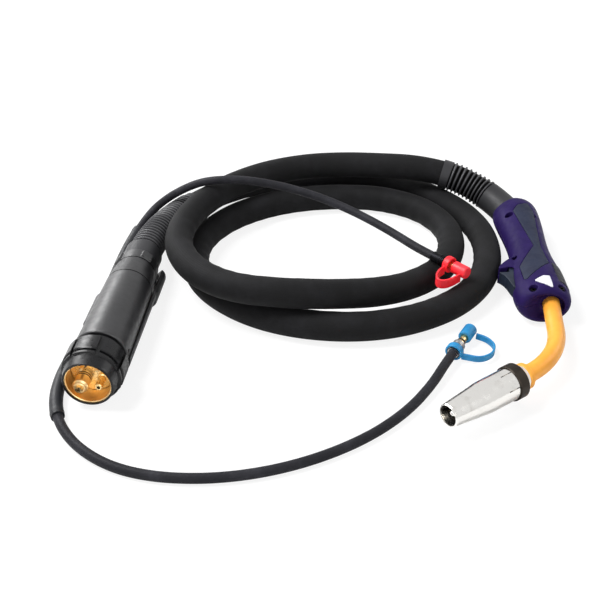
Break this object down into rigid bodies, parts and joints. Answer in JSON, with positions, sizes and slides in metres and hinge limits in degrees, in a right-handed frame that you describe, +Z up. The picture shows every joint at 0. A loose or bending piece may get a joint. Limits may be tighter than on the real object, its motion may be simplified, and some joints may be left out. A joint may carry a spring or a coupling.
{
  "type": "mig welding torch",
  "caption": "Water-cooled arc welding torch: moulded handle, bent neck, gas nozzle, coiled hose package and central machine connector with two capped water lines.",
  "frame": {"origin": "on the bench, under the middle of the box round the torch head (handle, neck and gas nozzle)", "axes": "+X to the right as the torch lies, +Y away from the viewer along the handle towards the hose, +Z up"},
  "size_m": [0.4716, 0.5075, 0.0697],
  "materials": {
    "purple_shell": "satin moulded shell",
    "slate_rubber": "soft grip inlay",
    "white_label": "bare label plate",
    "pad_rubber": "soft pad",
    "dark_trigger": "moulded",
    "steel": "plain steel",
    "spring_steel": "drawn wire",
    "black_plastic": "moulded",
    "black_rubber": "moulded",
    "ochre_neck": "satin lacquer",
    "copper": "drawn copper",
    "brass": "turned",
    "nickel": "satin nickel plate",
    "band": "dark spring band",
    "insulator": "moulded insulator",
    "sleeve": "woven sleeve",
    "conduit": "extruded",
    "hose_grey": "braided rubber hose",
    "sheath": "smooth sheath",
    "blue_plastic": "moulded cap",
    "red_plastic": "moulded cap"
  },
  "bodies": {
    "torch": {"handle_shell_top": "purple_shell", "handle_shell_bottom": "purple_shell", "grip_inlay_top": "slate_rubber", "grip_inlay_bottom": "slate_rubber", "label_plate": "white_label", "thumb_pad": "pad_rubber", "handle_screws": "steel", "trigger_pin": "steel", "microswitch": "black_plastic", "trigger_spring": "spring_steel", "swan_neck": "ochre_neck", "neck_inner_tube": "copper", "neck_clamp_block": "brass", "neck_flange": "brass", "nozzle_seat": "brass", "gas_diffuser": "insulator", "tip_holder": "brass", "contact_tip": "copper", "hose_sleeve": "sleeve", "wire_conduit": "conduit", "conduit_grommets": "black_rubber", "handle_boot": "black_rubber", "machine_boot": "black_rubber", "connector_block": "brass", "nut_retaining_ring": "spring_steel", "main_spigot": "brass", "spigot_seals": "black_rubber", "liner_nut": "brass", "gas_nipple": "brass", "contact_spring_left": "spring_steel", "contact_spring_right": "spring_steel", "contact_pin_bushes": "insulator", "connector_housing": "black_plastic", "housing_screws": "steel", "housing_rear_collar": "black_plastic", "boot_latch_ring": "black_plastic", "hose_outlet_cowl": "black_plastic", "supply_hose": "hose_grey", "supply_sheath": "sheath", "supply_ferrule": "steel", "supply_coupling_nipple": "brass", "supply_coupling_seal": "black_rubber", "blue_cap_strap": "blue_plastic", "return_hose": "hose_grey", "return_sheath": "sheath", "return_ferrule": "brass", "return_coupling_nipple": "brass", "return_coupling_seal": "black_rubber", "red_cap_strap": "red_plastic"},
    "trigger_body": {"trigger": "dark_trigger"},
    "plunger_body": {"switch_plunger": "insulator"},
    "nozzle_body": {"gas_nozzle": "nickel", "nozzle_spring_band": "band"},
    "nut_body": {"connector_nut": "black_plastic", "nut_thread_insert": "brass"},
    "left_pin_body": {"contact_pin_left": "brass"},
    "right_pin_body": {"contact_pin_right": "brass"},
    "blue_cap_body": {"blue_cap": "blue_plastic"},
    "red_cap_body": {"red_cap": "red_plastic"}
  },
  "joints": [
    {"name": "trigger_squeeze", "type": "hinge", "parent": "torch", "child": "trigger_body", "pos_m": [0.0254, 0.0151, 0.0205], "axis": [0, 0, -1], "range_deg": [0, 6], "stiffness_Nm_per_rad": 0.8, "springref_deg": -2.86, "deforming": ["trigger_spring"]},
    {"name": "plunger_travel", "type": "slide", "parent": "torch", "child": "plunger_body", "axis": [1, 0, 0], "range_m": [0, 0.0033]},
    {"name": "nozzle_pull_off", "type": "slide", "parent": "torch", "child": "nozzle_body", "axis": [-0.809, -0.5878, 0], "range_m": [0, 0.08]},
    {"name": "union_nut_turn", "type": "hinge", "parent": "torch", "child": "nut_body", "pos_m": [-0.3626, -0.1359, 0.027], "axis": [0.0958, 0.9954, 0], "continuous": true},
    {"name": "left_pin_travel", "type": "slide", "parent": "torch", "child": "left_pin_body", "axis": [0.0958, 0.9954, 0], "range_m": [0, 0.0025], "stiffness_N_per_m": 600, "springref_m": -0.001, "deforming": ["contact_spring_left"]},
    {"name": "right_pin_travel", "type": "slide", "parent": "torch", "child": "right_pin_body", "axis": [0.0958, 0.9954, 0], "range_m": [0, 0.0025], "stiffness_N_per_m": 600, "springref_m": -0.001, "deforming": ["contact_spring_right"]},
    {"name": "blue_cap_pull_off", "type": "slide", "parent": "torch", "child": "blue_cap_body", "axis": [0.5053, 0.8627, 0.0205], "range_m": [0, 0.016]},
    {"name": "red_cap_pull_off", "type": "slide", "parent": "torch", "child": "red_cap_body", "axis": [0.6882, -0.7254, -0.0074], "range_m": [0, 0.016]}
  ],
  "couplings": [
    {"joint": "plunger_travel", "follows": "trigger_squeeze", "m_per_rad": 0.031}
  ]
}
